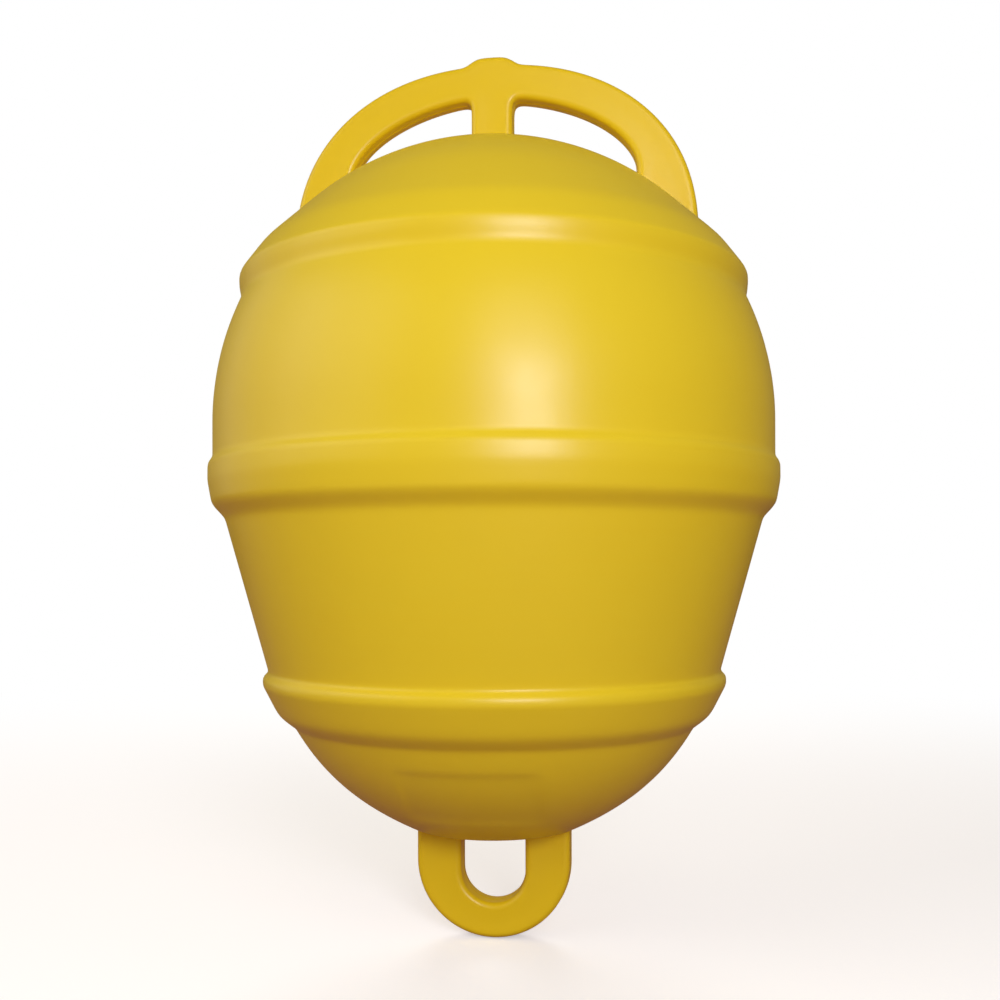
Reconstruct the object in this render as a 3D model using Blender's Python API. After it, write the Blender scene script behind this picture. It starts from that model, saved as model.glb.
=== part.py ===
"""Moulded plastic mooring buoy: a ribbed float with a carrying handle on top and a mooring eye below.

The whole buoy comes out of one mould, so it is one solid. Lengths are in metres. The origin is the
centre of the mooring eye's round hole end, where the shackle pulls. +Z runs up the float's axis, and
the handle and the eye are flat plates in the XZ plane, where the two halves of the mould met.
"""

import math

import bmesh
import bpy
import numpy as np

# Mooring eye: a U-shaped plate under the float, with a hole that is open up to the float's flat bottom
EYE_HOLE_RADIUS = 0.0182
EYE_HOLE_DROP = 0.0267
EYE_LEG_WIDTH = 0.0259
EYE_TIP_BAND = 0.0202
EYE_THICKNESS = 0.0180
EYE_EDGE_RADIUS = 0.0030
EYE_ROOT_DEPTH = 0.0150

# Bottom bowl: a flat just wider than the eye, then a curve up to the lower ring
FLAT_MARGIN = 0.0045
BOWL_HEIGHT = 0.0581
BOWL_FOOT_SLOPE = math.radians(26.0)
BOWL_RIM_SLOPE = math.radians(60.0)
BOWL_FULLNESS = 0.37

# Lower ring: a band whose face leans in towards the bowl, with a sloping underside
LOWER_RING_UNDERSIDE_RUN = 0.0094
LOWER_RING_UNDERSIDE_RISE = 0.0080
LOWER_RING_FACE_RUN = 0.0079
LOWER_RING_FACE_RISE = 0.0162
LOWER_RING_LAND = 0.0039
LOWER_RING_PROUD = 0.0029
LOWER_RING_STEP_RISE = 0.0040

# Cone: the tapered wall between the lower ring and the belt
CONE_HEIGHT = 0.0835
CONE_TAPER = math.radians(15.4)

# Belt: the widest band, with a sloping underside and a small flare on top
BELT_UNDERSIDE_RISE = 0.0085
BELT_SKIRT_RUN = 0.0019
BELT_SKIRT_RISE = 0.0115
BELT_LAND = 0.0055
BELT_PROUD = 0.0027
BELT_FLARE_RISE = 0.0050
BELT_OVERHANG = 0.0091

# Upper wall: upright above the belt, then part of a sphere
WALL_RADIUS = 0.1575
WALL_STRAIGHT = 0.0215

# Upper ring: a land, a sloping face and a straight ledge that leaves the dome as its tangent
UPPER_RING_LEVEL = 0.0693
UPPER_RING_PROUD = 0.0020
UPPER_RING_STEP_RISE = 0.0017
UPPER_RING_LAND = 0.0082
UPPER_RING_FACE_RUN = 0.0112
UPPER_RING_FACE_RISE = 0.0175

# Dome: a sphere about the same centre as the upper wall's, a little larger
DOME_PROUD = 0.0020

# Handle: an arch over the dome on a middle post, with a low boss where the moulding was trimmed
HANDLE_THICKNESS = 0.0150
HANDLE_EDGE_RADIUS = 0.0030
HANDLE_RISE = 0.0485
HANDLE_HALF_SPAN = 0.1163
HANDLE_ARCH_HEIGHT = 0.1000
HANDLE_SQUARENESS = 2.21
WINDOW_RISE = 0.0292
WINDOW_HALF_SPAN = 0.0822
WINDOW_ARCH_HEIGHT = 0.0440
WINDOW_SQUARENESS = 1.85
WINDOW_CORNER_RADIUS = 0.0050
POST_WIDTH = 0.0238
BOSS_BASE_WIDTH = 0.0280
BOSS_TOP_WIDTH = 0.0195
BOSS_RISE = 0.0045

# Corner softness of the rings and the belt, and the most of a short side that a corner may take
CORNER_RADIUS = 0.0030
SHORT_SIDE_SHARE = 0.45

# How finely the shapes are divided
FLOAT_SIDES = 60
CORNER_STEPS = 1
BOWL_STEPS = 7
BULGE_STEPS = 7
DOME_STEPS = 8
ARCH_STEPS = 18
WINDOW_STEPS = 13
EYE_STEPS = 16
FILLET_STEPS = 4
EDGE_STEPS = 2
SEARCH_STEPS = 2000
SEARCH_HALVINGS = 40

# Edges of a plate that turn more than this get the rounded rim; points closer than the merge are one
RIM_ANGLE = math.radians(60.0)
MERGE_DISTANCE = 0.00001

# Finish: semi-gloss yellow polyethylene
YELLOW = (0.847, 0.617, 0.021, 1.0)
GLOSS_ROUGHNESS = 0.38

# Levels up the axis, each from the one below it
FLAT_LEVEL = EYE_HOLE_DROP
BOWL_RIM_LEVEL = FLAT_LEVEL + BOWL_HEIGHT
LOWER_FACE_LEVEL = BOWL_RIM_LEVEL + LOWER_RING_UNDERSIDE_RISE
LOWER_LAND_LEVEL = LOWER_FACE_LEVEL + LOWER_RING_FACE_RISE
LOWER_STEP_LEVEL = LOWER_LAND_LEVEL + LOWER_RING_LAND
CONE_FOOT_LEVEL = LOWER_STEP_LEVEL + LOWER_RING_STEP_RISE
CONE_TOP_LEVEL = CONE_FOOT_LEVEL + CONE_HEIGHT
BELT_SKIRT_LEVEL = CONE_TOP_LEVEL + BELT_UNDERSIDE_RISE
BELT_LAND_LEVEL = BELT_SKIRT_LEVEL + BELT_SKIRT_RISE
BELT_FLARE_LEVEL = BELT_LAND_LEVEL + BELT_LAND
WALL_FOOT_LEVEL = BELT_FLARE_LEVEL + BELT_FLARE_RISE
SPHERE_LEVEL = WALL_FOOT_LEVEL + WALL_STRAIGHT
UPPER_LAND_LEVEL = SPHERE_LEVEL + UPPER_RING_LEVEL
UPPER_FACE_LEVEL = UPPER_LAND_LEVEL + UPPER_RING_LAND
LEDGE_LEVEL = UPPER_FACE_LEVEL + UPPER_RING_FACE_RISE

# Radii out from the axis, each from the wall that it stands on
DOME_RADIUS = WALL_RADIUS + DOME_PROUD
DOME_TOP_LEVEL = SPHERE_LEVEL + DOME_RADIUS
BELT_RADIUS = WALL_RADIUS + BELT_PROUD
BELT_SKIRT_RADIUS = BELT_RADIUS - BELT_SKIRT_RUN
CONE_TOP_RADIUS = BELT_RADIUS - BELT_OVERHANG
CONE_FOOT_RADIUS = CONE_TOP_RADIUS - CONE_HEIGHT * math.tan(CONE_TAPER)
LOWER_RING_RADIUS = CONE_FOOT_RADIUS + LOWER_RING_PROUD
LOWER_FACE_FOOT_RADIUS = LOWER_RING_RADIUS - LOWER_RING_FACE_RUN
BOWL_RIM_RADIUS = LOWER_FACE_FOOT_RADIUS - LOWER_RING_UNDERSIDE_RUN
EYE_HALF_WIDTH = EYE_HOLE_RADIUS + EYE_LEG_WIDTH
FLAT_RADIUS = EYE_HALF_WIDTH + FLAT_MARGIN


def clear_scene():
    """Remove every object, so that the model starts from nothing."""
    for obj in list(bpy.data.objects):
        bpy.data.objects.remove(obj, do_unlink=True)


def yellow_plastic():
    """The one material: mass-coloured yellow polyethylene with a soft gloss."""
    material = bpy.data.materials.new("yellow_polyethylene")
    material.use_nodes = True
    shader = material.node_tree.nodes["Principled BSDF"]
    shader.inputs["Base Color"].default_value = YELLOW
    shader.inputs["Roughness"].default_value = GLOSS_ROUGHNESS
    shader.inputs["Metallic"].default_value = 0.0
    return material


def arc(centre, radius, start, stop, steps):
    """Points on a circle about centre, from one angle to another."""
    angles = np.linspace(start, stop, steps + 1)
    return np.column_stack([centre[0] + radius * np.cos(angles), centre[1] + radius * np.sin(angles)])


def rounded(corners, radius, steps):
    """A polyline with an arc of the given radius in each inner corner, or a smaller one on short sides."""
    corners = np.array(corners)
    points = [corners[0]]
    for before, corner, after in zip(corners, corners[1:], corners[2:]):
        back = before - corner
        ahead = after - corner
        back_length = np.linalg.norm(back)
        ahead_length = np.linalg.norm(ahead)
        back = back / back_length
        ahead = ahead / ahead_length
        half_angle = math.acos(np.clip(back @ ahead, -1.0, 1.0)) / 2.0
        cut = min(radius / math.tan(half_angle), SHORT_SIDE_SHARE * min(back_length, ahead_length))
        bisector = (back + ahead) / np.linalg.norm(back + ahead)
        centre = corner + bisector * cut / math.cos(half_angle)
        start = corner + back * cut - centre
        stop = corner + ahead * cut - centre
        turn = math.atan2(start[0] * stop[1] - start[1] * stop[0], start @ stop)
        start_angle = math.atan2(start[1], start[0])
        points.extend(arc(centre, np.linalg.norm(start), start_angle, start_angle + turn, steps))
    points.append(corners[-1])
    return np.array(points)


def sphere_radius_at(height, radius):
    """Half width of a sphere at a height above its centre."""
    return math.sqrt(radius * radius - height * height)


def ledge_start():
    """Where the upper ring's ledge touches the dome: the tangent from the ring's corner to the sphere."""
    foot_radius = UPPER_RING_RADIUS - UPPER_RING_FACE_RUN
    foot_height = LEDGE_LEVEL - SPHERE_LEVEL
    corner_angle = math.atan2(foot_height, foot_radius)
    touch_angle = corner_angle + math.acos(DOME_RADIUS / math.hypot(foot_radius, foot_height))
    return DOME_RADIUS * math.cos(touch_angle), SPHERE_LEVEL + DOME_RADIUS * math.sin(touch_angle)


UPPER_RING_FOOT_LEVEL = UPPER_LAND_LEVEL - UPPER_RING_STEP_RISE
UPPER_RING_FOOT_RADIUS = sphere_radius_at(UPPER_RING_FOOT_LEVEL - SPHERE_LEVEL, WALL_RADIUS)
UPPER_RING_RADIUS = sphere_radius_at(UPPER_LAND_LEVEL - SPHERE_LEVEL, WALL_RADIUS) + UPPER_RING_PROUD


def bowl_curve():
    """The bowl from its rim down to the flat: a Bezier curve with the two named end slopes."""
    rim = np.array([BOWL_RIM_RADIUS, BOWL_RIM_LEVEL])
    foot = np.array([FLAT_RADIUS, FLAT_LEVEL])
    rim_direction = -np.array([math.cos(BOWL_RIM_SLOPE), math.sin(BOWL_RIM_SLOPE)])
    foot_direction = -np.array([math.cos(BOWL_FOOT_SLOPE), math.sin(BOWL_FOOT_SLOPE)])
    reach = np.linalg.norm(rim - foot) * BOWL_FULLNESS
    share = np.linspace(0.0, 1.0, BOWL_STEPS + 1)[:, None]
    rim_handle = rim + rim_direction * reach
    foot_handle = foot - foot_direction * reach
    return (
        (1 - share) ** 3 * rim
        + 3 * (1 - share) ** 2 * share * rim_handle
        + 3 * (1 - share) * share ** 2 * foot_handle
        + share ** 3 * foot
    )


def float_profile():
    """Half outline of the float from the dome's top, down the outside, to the middle of the flat."""
    ledge_radius, ledge_level = ledge_start()
    dome_end = math.atan2(ledge_level - SPHERE_LEVEL, ledge_radius)
    dome = arc((0.0, SPHERE_LEVEL), DOME_RADIUS, math.pi / 2, dome_end, DOME_STEPS)
    upper_ring = rounded(
        [
            (ledge_radius, ledge_level),
            (UPPER_RING_RADIUS - UPPER_RING_FACE_RUN, LEDGE_LEVEL),
            (UPPER_RING_RADIUS, UPPER_FACE_LEVEL),
            (UPPER_RING_RADIUS, UPPER_LAND_LEVEL),
            (UPPER_RING_FOOT_RADIUS, UPPER_RING_FOOT_LEVEL),
        ],
        CORNER_RADIUS,
        CORNER_STEPS,
    )
    bulge_start = math.asin((UPPER_RING_FOOT_LEVEL - SPHERE_LEVEL) / WALL_RADIUS)
    bulge = arc((0.0, SPHERE_LEVEL), WALL_RADIUS, bulge_start, 0.0, BULGE_STEPS)
    belt_and_cone = rounded(
        [
            (WALL_RADIUS, SPHERE_LEVEL),
            (WALL_RADIUS, WALL_FOOT_LEVEL),
            (BELT_RADIUS, BELT_FLARE_LEVEL),
            (BELT_RADIUS, BELT_LAND_LEVEL),
            (BELT_SKIRT_RADIUS, BELT_SKIRT_LEVEL),
            (CONE_TOP_RADIUS, CONE_TOP_LEVEL),
            (CONE_FOOT_RADIUS, CONE_FOOT_LEVEL),
            (LOWER_RING_RADIUS, LOWER_STEP_LEVEL),
            (LOWER_RING_RADIUS, LOWER_LAND_LEVEL),
            (LOWER_FACE_FOOT_RADIUS, LOWER_FACE_LEVEL),
            (BOWL_RIM_RADIUS, BOWL_RIM_LEVEL),
        ],
        CORNER_RADIUS,
        CORNER_STEPS,
    )
    middle = np.array([[0.0, FLAT_LEVEL]])
    return np.concatenate([dome, upper_ring[1:], bulge[1:], belt_and_cone[1:], bowl_curve()[1:], middle])


def arch_curve(half_span, height, squareness, level, first_angle, steps):
    """Quarter of a squared-off ellipse, from the side up to first_angle, standing on level."""
    angles = np.linspace(0.0, first_angle, steps + 1)
    power = 2.0 / squareness
    return np.column_stack([half_span * np.cos(angles) ** power, level + height * np.sin(angles) ** power])


def angle_at_x(x, half_span, squareness):
    """The arch curve's angle at which it is x from the middle."""
    return math.acos((x / half_span) ** (squareness / 2.0))


def window_outline():
    """Right window's edge, from the leg's root over the arch and down the post."""
    level = DOME_TOP_LEVEL + WINDOW_RISE - WINDOW_ARCH_HEIGHT
    post_side = POST_WIDTH / 2
    reach = angle_at_x(post_side, WINDOW_HALF_SPAN, WINDOW_SQUARENESS)
    fine = arch_curve(WINDOW_HALF_SPAN, WINDOW_ARCH_HEIGHT, WINDOW_SQUARENESS, level, reach, SEARCH_STEPS)
    centre_x = post_side + WINDOW_CORNER_RADIUS
    low = level
    high = level + WINDOW_ARCH_HEIGHT
    for _ in range(SEARCH_HALVINGS):
        middle = (low + high) / 2
        clearance = np.hypot(fine[:, 0] - centre_x, fine[:, 1] - middle).min()
        if clearance > WINDOW_CORNER_RADIUS:
            low = middle
        else:
            high = middle
    centre = np.array([centre_x, low])
    touch = fine[np.hypot(*(fine - centre).T).argmin()]
    touch_angle = math.atan2(touch[1] - centre[1], touch[0] - centre[0])
    reach = angle_at_x(touch[0], WINDOW_HALF_SPAN, WINDOW_SQUARENESS)
    edge = arch_curve(WINDOW_HALF_SPAN, WINDOW_ARCH_HEIGHT, WINDOW_SQUARENESS, level, reach, WINDOW_STEPS)
    corner = arc(centre, WINDOW_CORNER_RADIUS, touch_angle, math.pi, FILLET_STEPS)
    return np.concatenate([edge[:-1], corner])


def handle_outline():
    """Outline of the handle plate: boss, arch, two legs and the post, whose feet stand in the dome."""
    root = UPPER_FACE_LEVEL
    top = DOME_TOP_LEVEL + HANDLE_RISE
    level = top - HANDLE_ARCH_HEIGHT
    reach = angle_at_x(BOSS_BASE_WIDTH / 2, HANDLE_HALF_SPAN, HANDLE_SQUARENESS)
    arch = arch_curve(HANDLE_HALF_SPAN, HANDLE_ARCH_HEIGHT, HANDLE_SQUARENESS, level, reach, ARCH_STEPS)[::-1]
    boss = [[BOSS_TOP_WIDTH / 2, top + BOSS_RISE]]
    leg = [[HANDLE_HALF_SPAN, root], [WINDOW_HALF_SPAN, root]]
    post = [[POST_WIDTH / 2, root]]
    right = np.concatenate([boss, arch, leg, window_outline(), post])
    left = right[::-1] * (-1, 1)
    return np.concatenate([right, left])


def eye_outline():
    """Outline of the eye plate: a U whose legs run up into the float."""
    root = FLAT_LEVEL + EYE_ROOT_DEPTH
    outer_level = EYE_HALF_WIDTH - EYE_HOLE_RADIUS - EYE_TIP_BAND
    outer = arc((0.0, outer_level), EYE_HALF_WIDTH, 0.0, -math.pi, EYE_STEPS)
    inner = arc((0.0, 0.0), EYE_HOLE_RADIUS, -math.pi, 0.0, EYE_STEPS)
    return np.concatenate(
        [
            [[EYE_HALF_WIDTH, root]],
            outer,
            [[-EYE_HALF_WIDTH, root], [-EYE_HOLE_RADIUS, root]],
            inner,
            [[EYE_HOLE_RADIUS, root]],
        ]
    )


def plate(name, outline, thickness, edge_radius):
    """A flat plate in the XZ plane with rounded rims; it is a guide that the float is joined to."""
    mesh = bpy.data.meshes.new(name)
    shape = bmesh.new()
    corners = [shape.verts.new((x, -thickness / 2, z)) for x, z in outline]
    front = shape.faces.new(corners)
    grown = bmesh.ops.extrude_face_region(shape, geom=[front])
    moved = [item for item in grown["geom"] if isinstance(item, bmesh.types.BMVert)]
    bmesh.ops.translate(shape, verts=moved, vec=(0.0, thickness, 0.0))
    bmesh.ops.recalc_face_normals(shape, faces=shape.faces)
    shape.to_mesh(mesh)
    shape.free()
    mesh.shade_smooth()
    obj = bpy.data.objects.new(name, mesh)
    bpy.context.collection.objects.link(obj)
    edges = obj.modifiers.new("rounded rims", "BEVEL")
    edges.width = edge_radius
    edges.segments = EDGE_STEPS
    edges.limit_method = "ANGLE"
    edges.angle_limit = RIM_ANGLE
    edges.use_clamp_overlap = False
    obj.hide_render = True
    obj.display_type = "WIRE"
    return obj


def turned_float(name, profile):
    """The float's outline turned about the Z axis into a closed body."""
    mesh = bpy.data.meshes.new(name)
    points = [(radius, 0.0, level) for radius, level in profile]
    mesh.from_pydata(points, [(i, i + 1) for i in range(len(points) - 1)], [])
    obj = bpy.data.objects.new(name, mesh)
    bpy.context.collection.objects.link(obj)
    turn = obj.modifiers.new("turned about the axis", "SCREW")
    turn.axis = "Z"
    turn.angle = math.tau
    turn.steps = FLOAT_SIDES
    turn.render_steps = FLOAT_SIDES
    turn.use_merge_vertices = True
    turn.merge_threshold = MERGE_DISTANCE
    turn.use_smooth_shade = True
    return obj


def join_plate(body, guide):
    """Make the plate one solid with the float, as the mould does."""
    joint = body.modifiers.new("moulded with " + guide.name, "BOOLEAN")
    joint.operation = "UNION"
    joint.solver = "EXACT"
    joint.object = guide


def build():
    clear_scene()
    buoy = turned_float("buoy", float_profile())
    buoy.data.materials.append(yellow_plastic())
    join_plate(buoy, plate("handle_guide", handle_outline(), HANDLE_THICKNESS, HANDLE_EDGE_RADIUS))
    join_plate(buoy, plate("eye_guide", eye_outline(), EYE_THICKNESS, EYE_EDGE_RADIUS))


build()
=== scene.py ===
# %% [markdown]
# # A moulded mooring buoy
#
# The real buoy is one hollow moulding of yellow polyethylene: a ribbed float with a carrying handle on
# top and a mooring eye below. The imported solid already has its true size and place. This script gives
# the same moulding its fine surface: soft rib corners, rounded rims, fillets at the roots of the handle
# and the eye, the thin parting line of the mould, and a semi-gloss plastic finish.

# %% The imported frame
import math

import bpy
import numpy as np
from mathutils import Matrix
from mathutils.geometry import delaunay_2d_cdt


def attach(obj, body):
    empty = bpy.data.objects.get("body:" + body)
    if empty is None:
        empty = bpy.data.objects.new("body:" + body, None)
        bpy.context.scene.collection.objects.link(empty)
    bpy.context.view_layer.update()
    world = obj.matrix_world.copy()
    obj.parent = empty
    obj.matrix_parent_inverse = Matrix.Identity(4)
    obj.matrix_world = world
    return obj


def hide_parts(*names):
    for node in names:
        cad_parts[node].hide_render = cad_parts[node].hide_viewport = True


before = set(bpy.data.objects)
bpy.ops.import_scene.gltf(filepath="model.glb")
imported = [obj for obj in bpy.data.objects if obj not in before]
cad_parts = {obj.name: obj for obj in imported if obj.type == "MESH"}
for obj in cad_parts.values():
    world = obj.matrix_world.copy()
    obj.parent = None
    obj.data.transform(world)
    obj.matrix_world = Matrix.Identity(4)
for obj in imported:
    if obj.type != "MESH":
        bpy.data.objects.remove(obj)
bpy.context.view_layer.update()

MM = 0.001
BUOY_NODE = "buoy"

# %% [markdown]
# ## The float's outline
#
# A float like this is turned, so one half outline says everything. It could be drawn as a curve by
# hand, but a list of measured levels and radii is easier to check against the solid. From the top the
# outline is a dome, an upper ring with a sloping face, a bulging wall, the belt, a tapered cone, a
# lower ring and a round bowl that ends in a small flat. Dome and wall are spheres about one centre.

# %% Levels and radii of the float
EYE_HOLE_RADIUS = 18.2 * MM
FLAT_LEVEL = 26.7 * MM
FLAT_RADIUS = 48.6 * MM
BOWL_RIM = np.array([113.7, 84.8]) * MM
BOWL_FOOT_SLOPE = math.radians(26.0)
BOWL_RIM_SLOPE = math.radians(60.0)
BOWL_FULLNESS = 0.37
BOWL_POINTS = 400

LOWER_FACE_FOOT = np.array([122.5, 91.5]) * MM
LOWER_LAND_FOOT = np.array([131.0, 108.3]) * MM
LOWER_LAND_TOP = np.array([130.9, 112.2]) * MM
CONE_FOOT = np.array([127.8, 115.2]) * MM
CONE_TOP = np.array([151.3, 201.1]) * MM
BELT_SKIRT = np.array([157.9, 207.2]) * MM
BELT_LAND_FOOT = np.array([160.2, 220.4]) * MM
BELT_LAND_TOP = np.array([160.1, 229.3]) * MM
WALL_FOOT = np.array([157.5, 233.0]) * MM

SPHERE_LEVEL = 252.4 * MM
WALL_RADIUS = 157.5 * MM
DOME_RADIUS = 159.5 * MM
UPPER_RING_FOOT_LEVEL = 322.0 * MM
UPPER_LAND_FOOT = np.array([142.9, 325.4]) * MM
UPPER_LAND_TOP = np.array([143.5, 332.0]) * MM
LEDGE_CORNER = np.array([132.2, 347.4]) * MM
print("belt in mm:", round(2 * BELT_LAND_FOOT[0] / MM, 1), "across")

# %% [markdown]
# The outline is first laid down finely, with sharp corners. A mould can't hold a sharp corner, so the
# points are then averaged with a bell-shaped weight along the curve. That rounds every corner by about
# the same small amount and leaves straight runs and the big arcs as they are. Four places are rounder
# on the real float: the ledge over the upper ring, the foot of that ring, the underside of the belt and
# the foot of the lower ring. There a wider bell is blended in.

# %% Curve helpers
FINE_STEP = 0.25 * MM
BELL_CUT = 3


def running_length(points):
    """Distance along a polyline from its first point to each of its points."""
    return np.concatenate([[0.0], np.cumsum(np.linalg.norm(np.diff(points, axis=0), axis=1))])


def along(points, places):
    """Points of a polyline at the given running lengths, by straight interpolation."""
    length = running_length(points)
    return np.column_stack([np.interp(places, length, column) for column in points.T])


def evenly(points, step):
    """The polyline with points at equal steps of about the given size."""
    total = running_length(points)[-1]
    return along(points, np.linspace(0.0, total, round(total / step) + 1))


def circle_arc(centre, radius, start, stop):
    """Points on a circle about centre, from one angle to another, at fine steps."""
    count = max(2, round(abs(stop - start) * radius / FINE_STEP))
    angles = np.linspace(start, stop, count)
    return np.column_stack([centre[0] + radius * np.cos(angles), centre[1] + radius * np.sin(angles)])


def bell(width, step):
    """Weights of a bell curve: e to minus half the square of distance over width, with sum one."""
    reach = math.ceil(BELL_CUT * width / step)
    weights = np.exp(-0.5 * (np.arange(-reach, reach + 1) * step / width) ** 2)
    return weights / weights.sum()


def soften(points, corners, widths, reach, extend):
    """Bell-weighted means along a curve: the first width, and the second close to the corners."""
    step = running_length(points)[-1] / (len(points) - 1)
    versions = []
    for width in widths:
        weights = bell(width, step)
        padded = extend(points, len(weights) // 2)
        means = [np.convolve(column, weights, mode="valid") for column in padded.T]
        versions.append(np.column_stack(means))
    away = np.linalg.norm(points[:, None] - corners[None], axis=2).min(axis=1)
    share = np.exp(-((away / reach) ** 4))[:, None]
    return versions[0] * (1 - share) + versions[1] * share


# %% The ledge and the bowl
def ledge_touch():
    """Angle where the ledge leaves the dome on a tangent.

    It is the angle of the ledge's corner plus the arc cosine of dome radius over corner distance.
    """
    out, up = LEDGE_CORNER - (0.0, SPHERE_LEVEL)
    return math.atan2(up, out) + math.acos(DOME_RADIUS / math.hypot(out, up))


def bowl_curve():
    """Cubic Bezier from the bowl's rim to the flat, with the two named slopes at its ends."""
    foot = np.array([FLAT_RADIUS, FLAT_LEVEL])
    reach = np.linalg.norm(BOWL_RIM - foot) * BOWL_FULLNESS
    rim_handle = BOWL_RIM - reach * np.array([math.cos(BOWL_RIM_SLOPE), math.sin(BOWL_RIM_SLOPE)])
    foot_handle = foot + reach * np.array([math.cos(BOWL_FOOT_SLOPE), math.sin(BOWL_FOOT_SLOPE)])
    share = np.linspace(0.0, 1.0, BOWL_POINTS)[:, None]
    rest = 1.0 - share
    return (
        rest**3 * BOWL_RIM
        + 3 * rest**2 * share * rim_handle
        + 3 * rest * share**2 * foot_handle
        + share**3 * foot
    )


# %% The float's half outline
RIB_SOFTNESS = 1.1 * MM
SHOULDER_SOFTNESS = 2.8 * MM
SHOULDER_REACH = 6.5 * MM
BELT_UNDERSIDE = (BELT_SKIRT + CONE_TOP) / 2
SHOULDERS = np.array([LEDGE_CORNER, UPPER_LAND_FOOT, BELT_UNDERSIDE, LOWER_FACE_FOOT])


def over_the_axis(points, count):
    """The half outline continued over the axis at both ends by mirrored points."""
    over_top = points[count:0:-1] * (-1, 1)
    under_flat = points[-2 : -count - 2 : -1] * (-1, 1)
    return np.concatenate([over_top, points, under_flat])


def float_outline():
    """Radius and level along the float, from the dome's top down the outside to the flat's middle."""
    centre = (0.0, SPHERE_LEVEL)
    foot_angle = math.asin((UPPER_RING_FOOT_LEVEL - SPHERE_LEVEL) / WALL_RADIUS)
    sharp = np.concatenate(
        [
            circle_arc(centre, DOME_RADIUS, math.pi / 2, ledge_touch()),
            [LEDGE_CORNER, UPPER_LAND_TOP, UPPER_LAND_FOOT],
            circle_arc(centre, WALL_RADIUS, foot_angle, 0.0),
            [WALL_FOOT, BELT_LAND_TOP, BELT_LAND_FOOT, BELT_SKIRT, CONE_TOP, CONE_FOOT],
            [LOWER_LAND_TOP, LOWER_LAND_FOOT, LOWER_FACE_FOOT],
            bowl_curve(),
            [(0.0, FLAT_LEVEL)],
        ]
    )
    widths = (RIB_SOFTNESS, SHOULDER_SOFTNESS)
    soft = soften(evenly(sharp, FINE_STEP), SHOULDERS, widths, SHOULDER_REACH, over_the_axis)
    soft[[0, -1], 0] = 0.0
    return soft


outline = float_outline()
outline_length = running_length(outline)
print("half outline:", len(outline), "points,", round(outline_length[-1] / MM, 1), "mm long")

# %% [markdown]
# ## Where the grid needs points
#
# The float is a grid of two parameters: the place along the outline and the angle round the axis. An
# even grid would waste points on the smooth wall and have too few at the ribs. So each direction gets
# a density of points first, and the lines are placed at equal steps of the running total of that
# density. The rows crowd where the outline bends, and the columns where the parting line and the
# edges of the blank field run.

# %% Sizes of the blank field and of the grid
FIELD_LOW = 41.0 * MM
FIELD_HIGH = 71.0 * MM
FIELD_HALF_WIDTH = 36.0 * MM
FIELD_DEPTH = 0.9 * MM
FIELD_EDGE = 2.4 * MM
FIELD_MARGIN = 3 * FIELD_EDGE
FIELD_ANGLE = -math.pi / 2

ROW_STEP = 3.5 * MM
ROW_FINEST = 0.6 * MM
ROWS_PER_RADIAN = 12.0
FIELD_ROW_STEP = 0.9 * MM
ROW_BLEND = 3.0 * MM
COLUMN_STEP = math.radians(3.0)
PARTING_COLUMN_STEP = math.radians(0.16)
PARTING_REACH = math.radians(1.4)
FIELD_COLUMN_STEP = math.radians(0.55)
FIELD_REACH = math.radians(1.6)
ANGLE_SAMPLES = 36001
COLUMN_MULTIPLE = 4
print("blank field in mm:", round(2 * FIELD_HALF_WIDTH / MM), "by", round((FIELD_HIGH - FIELD_LOW) / MM))

# %% Rows and columns of the float's grid
def lines_from_density(places, density, multiple):
    """Places at equal steps of the running total of a density; the steps' count is a multiple."""
    steps = np.diff(places) * (density[1:] + density[:-1]) / 2
    total = np.concatenate([[0.0], np.cumsum(steps)])
    count = math.ceil(total[-1] / multiple) * multiple
    return np.interp(np.linspace(0.0, total[-1], count + 1), total, places)


def float_rows():
    """Running lengths of the grid's rows, closest where the outline turns and in the blank field."""
    slope = np.gradient(outline, outline_length, axis=0)
    heading = np.unwrap(np.arctan2(slope[:, 1], slope[:, 0]))
    bend = np.abs(np.gradient(heading, outline_length))
    density = np.clip(bend * ROWS_PER_RADIAN, 1 / ROW_STEP, 1 / ROW_FINEST)
    level = outline[:, 1]
    in_field = (level > FIELD_LOW - FIELD_MARGIN) & (level < FIELD_HIGH + FIELD_MARGIN)
    density = np.where(in_field, np.maximum(density, 1 / FIELD_ROW_STEP), density)
    weights = bell(ROW_BLEND, FINE_STEP)
    density = np.convolve(np.pad(density, len(weights) // 2, mode="edge"), weights, mode="valid")
    return lines_from_density(outline_length, density, 1)


def float_columns():
    """Angles of the grid's columns, closest at the parting line and at the blank field's two sides."""
    angles = np.linspace(-math.pi, math.pi, ANGLE_SAMPLES)
    density = np.full(len(angles), 1 / COLUMN_STEP)
    field_radius = np.interp((FIELD_LOW + FIELD_HIGH) / 2, outline[::-1, 1], outline[::-1, 0])
    field_side = FIELD_HALF_WIDTH / field_radius
    crowded = [(side, PARTING_REACH, PARTING_COLUMN_STEP) for side in (-math.pi, 0.0, math.pi)]
    for middle in (-math.pi / 2, math.pi / 2):
        crowded += [(middle + side, FIELD_REACH, FIELD_COLUMN_STEP) for side in (-field_side, field_side)]
    for centre, reach, step in crowded:
        density += np.exp(-(((angles - centre) / reach) ** 2)) / step
    return lines_from_density(angles, density, COLUMN_MULTIPLE)[:-1]


rows = float_rows()
columns = float_columns()
print("float grid:", len(rows), "rows,", len(columns), "columns")
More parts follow.
